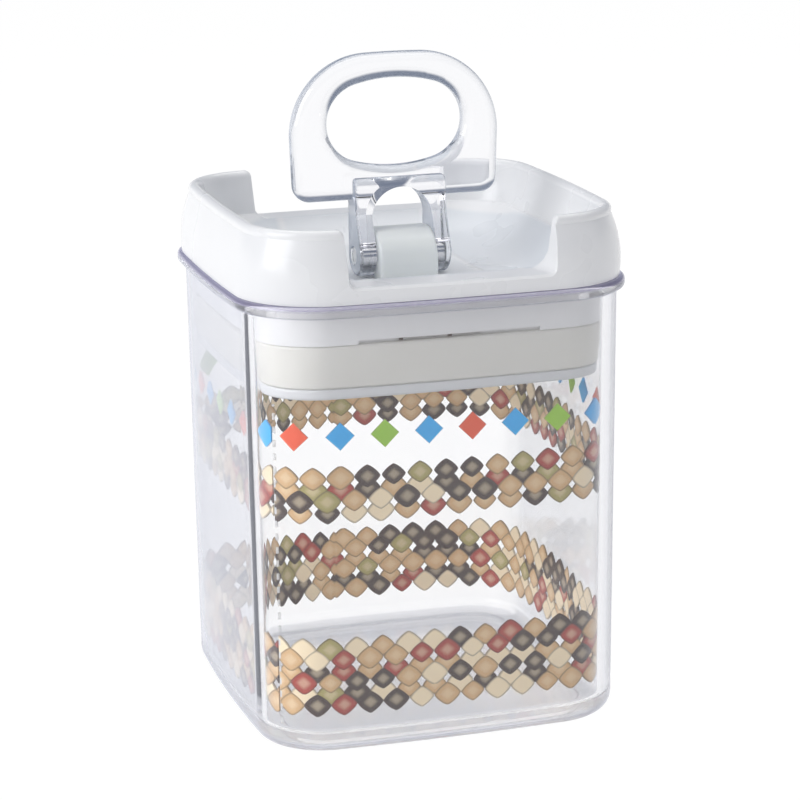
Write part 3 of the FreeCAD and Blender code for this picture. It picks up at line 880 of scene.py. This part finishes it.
class MakeLidCover(Operator):
    """White cover: raised round sides, a dish between them, an opening front and back"""
    bl_idname = "canister.make_lid_cover"
    bl_label = "Make lid cover"

    def execute(self, context):
        size = context.scene.lid_sizes
        body = context.scene.canister_sizes
        width = body.top_width + 2 * size.overhang
        outline = Outline(width, size.corner_radius, size.bow)
        dish_edge = RIM_TOP + size.dish_edge
        dish_floor = dish_edge - size.dish_depth
        dish_inset = size.side_thickness + size.dish_ledge
        ridge_low = LID_TOP - size.ridge_drop
        ridge_in = size.lean + size.ridge_width
        outer_line = arc_through((0, RIM_TOP + size.seat), (size.belly_lean, RIM_TOP + size.belly_height),
                                 (size.lean, ridge_low))
        top_line = arc_through((size.lean, ridge_low), (size.lean + size.ridge_width / 2, LID_TOP),
                               (ridge_in, ridge_low))
        inner_line = rounded([(ridge_in, ridge_low, 0), (size.side_thickness, dish_edge, size.dish_ledge),
                              (dish_inset, dish_edge, 0)])
        side_edge = outline.side_reach(dish_inset)
        stations = []
        for quarter in range(4):
            if quarter == 0:
                stations += gap_stations(size, RIM_TOP + size.front_sill, quarter, side_edge)
            elif quarter == 2:
                stations += gap_stations(size, RIM_TOP + size.back_sill, quarter, side_edge)
            else:
                stations += along_side(quarter)
            stations += along_corner(quarter)
        dish = [self.dish_outline(size, outline, width, dish_inset, 1 - step / DISH_RINGS, 0.0)
                for step in range(1, DISH_RINGS + 1)]
        under = [self.dish_outline(size, outline, width, dish_inset, step / UNDER_RINGS, size.dish_wall)
                 for step in range(UNDER_RINGS + 1)]
        flange_top = RIM_TOP + size.flange
        loops = []
        for station in stations:
            outer = [outline.at(station, inset, z) for inset, z in outer_line[:-1]]
            top = [outline.at(station, inset, z) for inset, z in top_line]
            inner = [outline.at(station, inset, z) for inset, z in inner_line[1:]]
            for ring, out in dish:
                spot = ring.at(station.plain(), 0, dish_floor + size.dish_depth * out ** size.dish_curve)
                inner.append(self.below_gap(size, width, spot))
            if station.cut is not None:
                outer, top, inner = cut_level(outer, top, inner, station.cut, size.gap_edge)
            slot = [self.slot_point(size, station, z) for z in (dish_floor, dish_floor - size.dish_wall)]
            below = []
            for ring, out in under:
                rise = (size.dish_depth + size.dish_wall) * out ** size.dish_curve
                z = dish_floor - size.dish_wall + rise
                below.append(ring.at(station.plain(), 0, min(z, flange_top)))
            skirt = [outline.at(station, size.wall, z) for z in (flange_top, RIM_TOP + size.seat)]
            loops.append(outer + top + inner + slot + below + skirt)
        mesh = loft("white_lid_cover", loops, close_along=True)
        tints = context.scene.canister_finishes
        dish_reach = width / 2 - dish_inset

        def reach_of(x, y):
            return (abs(x) ** DISH_SQUARENESS + abs(y) ** DISH_SQUARENESS) ** (1 / DISH_SQUARENESS)

        def on_band(x, y, z):
            return window(x, -size.band, size.band, 0.0008) * (reach_of(x, y) < dish_reach - 0.001)

        # Painted shade over the dish: less on the band across it, and least on a painted highlight line
        # along each edge of the band
        def painted_dish_shade(x, y, z):
            reach = reach_of(x, y)
            band = window(x, -size.band, size.band, 0.0006) * 0.45
            edge = window(abs(x), size.band - 0.0012, size.band + 0.0004, 0.0005) * 0.5
            return (1.0 - band - edge) * (1.0 - reach.ramp(dish_reach - 0.0005, dish_reach + 0.0005))

        material = moulded_plastic("lid_plastic", tints.white, 0.28, 0.00001, coat=0.3,
                                   painted_shade=(painted_dish_shade, tints.dish), relief=(on_band, DISH_BAND_RELIEF))
        place_piece(mesh, material, "lid", "lid_cover")
        return {"FINISHED"}

    @staticmethod
    def dish_outline(size, outline, width, dish_inset, out, grow):
        """Outline of the dish, from its flat middle at out = 0 to its edge at out = 1."""
        middle = size.dish_middle
        edge = width - 2 * dish_inset
        edge_radius = outline.radius - dish_inset
        ring_width = middle + (edge - middle) * out + 2 * grow
        ring_radius = size.dish_middle_radius + (edge_radius - size.dish_middle_radius) * out + grow
        return Outline(ring_width, ring_radius, size.bow), out

    @staticmethod
    def below_gap(size, width, spot):
        """Lowers a point of the dish to the bottom of the opening that it lies in."""
        half = size.gap_width / 2
        if abs(spot.x) < half and abs(spot.y) > width / 2 - size.gap_depth:
            sill = RIM_TOP + (size.front_sill if spot.y < 0 else size.back_sill)
            past = max(abs(spot.x) - half + size.gap_corner, 0)
            spot.z = min(spot.z, sill + size.gap_corner - math.sqrt(size.gap_corner ** 2 - past ** 2))
        return spot

    @staticmethod
    def slot_point(size, station, z):
        """Point of the stem's slot that a station leads to."""
        reach = STEM_HEAD_WIDTH / 2 + size.stem_room
        front = STEM_HEAD_FRONT - size.stem_room
        back = STEM_HEAD_BACK + size.stem_room
        middle = (front + back) / 2
        deep = (back - front) / 2
        along = 1.0 if station.corner else station.share
        places = [(reach * along, front), (reach, middle + deep * along),
                  (-reach * along, back), (-reach, middle - deep * along)]
        across, depth = places[station.quarter]
        return Vector((across, depth, z))


class MakeGasket(Operator):
    """Soft cream ring that the press plate squeezes"""
    bl_idname = "canister.make_gasket"
    bl_label = "Make gasket"

    def execute(self, context):
        size = context.scene.lid_sizes
        body = context.scene.canister_sizes
        outline = Outline(body.top_width, body.corner_radius, body.bow)
        ease = size.gasket_radius
        middle = (GASKET_LOW + GASKET_HIGH) / 2
        corners = [
            (size.gasket_width / 2, GASKET_HIGH, 0),
            (0, GASKET_HIGH, ease),
            (size.gasket_taper * 0.25, middle, 20 * ease),
            (size.gasket_taper, GASKET_LOW, ease),
            (size.gasket_taper + size.gasket_foot, GASKET_LOW, ease),
            (size.gasket_width, GASKET_HIGH, ease),
            (size.gasket_width / 2, GASKET_HIGH, 0),
        ]
        line = rounded(corners)[:-1]
        mesh = loft("soft_gasket", swept_round(outline, line, size.plug_inset), close_along=True)
        tint = context.scene.canister_finishes.gasket
        material = moulded_plastic("soft_silicone", tint, 0.5, 0.00003, milky=0.15)
        piece = place_piece(mesh, material, "lid", "gasket")
        lift = next(joint for joint in frame["joints"] if joint["name"] == "plate_lift")["range_m"][1]
        keep = 1 - lift / (GASKET_HIGH - GASKET_LOW)
        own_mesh(piece)
        return {"FINISHED"}


class MakePressPlate(Operator):
    """Plate under the gasket, carried by the stem"""
    bl_idname = "canister.make_press_plate"
    bl_label = "Make press plate"

    def execute(self, context):
        size = context.scene.lid_sizes
        body = context.scene.canister_sizes
        outline = Outline(body.top_width, body.corner_radius, body.bow)
        edge = size.plug_inset + size.plate_inset
        inside = edge + size.gasket_width
        low = PLATE_LOW - size.seat
        line = rounded([(inside, PLATE_HIGH, 0), (edge, PLATE_HIGH, size.plate_radius),
                        (edge, low, size.plate_radius), (inside, low, 0)])
        mesh = loft("press_plate_disc", swept_round(outline, line), close_along=False, cap=True)
        material = moulded_plastic("plate_plastic", context.scene.canister_finishes.plate, 0.4, 0.00002)
        place_piece(mesh, material, "lifter", "press_plate")
        return {"FINISHED"}


class DressLidCore(Operator):
    """Finishes of the inner lid, stem and pin"""
    bl_idname = "canister.dress_lid_core"
    bl_label = "Dress lid core"

    def execute(self, context):
        tints = context.scene.canister_finishes

        # Painted shade in the inner lid's slits: a light wash, heavier along one stretch, full at two
        # notches
        def vent_shade_mask(x, y, z):
            level = (z < GASKET_HIGH + VENT_HIGH) * (z > GASKET_HIGH + VENT_LOW)
            slit = level * (abs(x) < VENT_HALF) * (abs(y) > VENT_SIDE)
            shade = window(x, *VENT_SHADED) * 0.25 + 0.12
            for notch in VENT_NOTCHES:
                shade = shade.larger(abs(x - notch) < VENT_NOTCH_HALF)
            return slit * shade

        dress_node("inner_lid", moulded_plastic("inner_lid_plastic", tints.plug, 0.35, 0.00002,
                                                painted_shade=(vent_shade_mask, tints.vent_shade)))
        dress_node("lift_stem", moulded_plastic("milky_plastic", tints.stem, 0.28, 0.00002,
                                                coat=0.2, milky=0.3))
        dress_node("hinge_pin", turned_steel("pin_steel", tints.steel))
        return {"FINISHED"}


class DressHandle(Operator):
    """Clear finish of the flip handle"""
    bl_idname = "canister.dress_handle"
    bl_label = "Dress handle"

    def execute(self, context):
        tints = context.scene.canister_finishes
        # Clear plastic with painted dark edges where the handle turns away
        edge = (tints.grip_edge_shade, *HANDLE_EDGE_SHADE)
        material = clear_plastic("clear_handle_plastic", tints.clear, tints.depth, HANDLE_DENSITY, edge)
        dress_node("flip_handle", material)
        return {"FINISHED"}


class SetStage(Operator):
    """Pale floor, white surroundings, soft lamps and the camera"""
    bl_idname = "canister.set_stage"
    bl_label = "Set stage"

    def execute(self, context):
        settings = context.scene.canister_stage
        self.make_floor(context.scene.canister_finishes.floor)
        self.light_world(context.scene, settings)
        aim = Vector((0, 0, settings.target))
        self.add_lamp("key_lamp", KEY_PLACE, aim, KEY_SIZE, settings.key)
        self.add_lamp("fill_lamp", FILL_PLACE, aim, FILL_SIZE, settings.fill)
        self.add_lamp("top_lamp", TOP_PLACE, aim, TOP_SIZE, settings.top)
        self.add_camera(context.scene, settings, aim)
        context.scene.view_settings.view_transform = "Standard"
        return {"FINISHED"}

    @staticmethod
    def seen_directly(graph):
        """1 for rays that show the background: straight, mirrored or through something clear."""
        path = graph.add("ShaderNodeLightPath")
        straight = Value(graph, path.outputs["Is Camera Ray"])
        mirrored = Value(graph, path.outputs["Is Glossy Ray"])
        through = Value(graph, path.outputs["Is Transmission Ray"])
        return straight.larger(mirrored).larger(through)

    def make_floor(self, tint):
        half = FLOOR_HALF
        mesh = bpy.data.meshes.new("floor")
        corners = [(-half, -half, 0), (half, -half, 0), (half, half, 0), (-half, half, 0)]
        mesh.from_pydata(corners, [], [(0, 1, 2, 3)])
        floor = bpy.data.objects.new("floor", mesh)
        bpy.context.scene.collection.objects.link(floor)
        material, graph = new_material("pale_floor")
        plain = graph.add("ShaderNodeBsdfDiffuse", None, {"Color": rgba(tint)})
        glow = graph.add("ShaderNodeEmission", None, {"Color": rgba(WHITE), "Strength": FLOOR_GLOW})
        seen = self.seen_directly(graph) * FLOOR_GLOW_SHARE
        both = graph.add("ShaderNodeMixShader", None, {0: seen, 1: plain.outputs[0], 2: glow.outputs[0]})
        graph.add("ShaderNodeOutputMaterial", None, {"Surface": both.outputs[0]})
        mesh.materials.append(material)

    def light_world(self, scene, settings):
        world = bpy.data.worlds.new("studio")
        world.use_nodes = True
        graph = Graph(world.node_tree)
        ambient = graph.add("ShaderNodeBackground", None,
                            {"Color": rgba(AMBIENT_TINT), "Strength": settings.ambient})
        direction = graph.add("ShaderNodeTexCoord").outputs["Generated"]
        _, _, height = graph.parts(direction)
        path = graph.add("ShaderNodeLightPath")
        mirrored = 1.0 - Value(graph, path.outputs["Is Camera Ray"])
        scattered = Value(graph, path.outputs["Diffuse Depth"]) > 0.5
        band = window(height, *DARK_BAND) * mirrored * (1.0 - scattered)
        surroundings = graph.mix(band, rgba(WHITE), rgba(DARK_BAND_TINT))
        surroundings = graph.mix(scattered, surroundings, rgba(SCATTERED_TINT))
        white = graph.add("ShaderNodeBackground", None, {"Color": surroundings, "Strength": 1.0})
        both = graph.add("ShaderNodeMixShader", None,
                         {0: self.seen_directly(graph), 1: ambient.outputs[0], 2: white.outputs[0]})
        graph.add("ShaderNodeOutputWorld", None, {"Surface": both.outputs[0]})
        scene.world = world

    @staticmethod
    def add_lamp(name, place, aim, size, power):
        light = bpy.data.lights.new(name, "AREA")
        light.size = size
        light.energy = power
        lamp = bpy.data.objects.new(name, light)
        lamp.location = place
        lamp.rotation_euler = (aim - Vector(place)).to_track_quat("-Z", "Y").to_euler()
        bpy.context.scene.collection.objects.link(lamp)

    @staticmethod
    def add_camera(scene, settings, aim):
        level = math.cos(settings.elevation)
        back = Vector((math.sin(settings.azimuth) * level, -math.cos(settings.azimuth) * level,
                       math.sin(settings.elevation)))
        right = (-back).cross(UP).normalized()
        above = right.cross(-back)
        turn = settings.roll
        across = right * math.cos(turn) + above * math.sin(turn)
        upright = above * math.cos(turn) - right * math.sin(turn)
        lens = bpy.data.cameras.new("camera")
        lens.lens = settings.lens
        lens.sensor_width = SENSOR_WIDTH
        lens.shift_x = settings.shift_x
        lens.shift_y = settings.shift_y
        lens.clip_start = CLIP_START
        camera = bpy.data.objects.new("camera", lens)
        pose = Matrix((across, upright, back)).transposed().to_4x4()
        pose.translation = aim + back * settings.distance
        camera.matrix_world = pose
        scene.collection.objects.link(camera)
        scene.camera = camera


class CanisterPanel(Panel):
    """Lists the pieces in the order they are made"""
    bl_idname = "VIEW3D_PT_canister"
    bl_label = "Storage canister"
    bl_space_type = "VIEW_3D"
    bl_region_type = "UI"
    bl_category = "Canister"

    def draw(self, context):
        for operator in OPERATORS:
            self.layout.operator(operator.bl_idname)


OPERATORS = (MakeCanister, MakeSleeve, MakeLidCover, MakeGasket, MakePressPlate, DressLidCore,
             DressHandle, SetStage)
GROUPS = {
    "canister_sizes": CanisterSizes,
    "lid_sizes": LidSizes,
    "canister_finishes": Finishes,
    "canister_stage": StageSettings,
}


def register():
    for kind in (*GROUPS.values(), *OPERATORS, CanisterPanel):
        bpy.utils.register_class(kind)
    for name, group in GROUPS.items():
        setattr(bpy.types.Scene, name, PointerProperty(type=group))


def unregister():
    for name in GROUPS:
        delattr(bpy.types.Scene, name)
    for kind in (CanisterPanel, *reversed(OPERATORS), *reversed(GROUPS.values())):
        bpy.utils.unregister_class(kind)


def main():
    register()
    for operator in OPERATORS:
        family, name = operator.bl_idname.split(".")
        getattr(getattr(bpy.ops, family), name)()


if __name__ == "__main__":
    main()
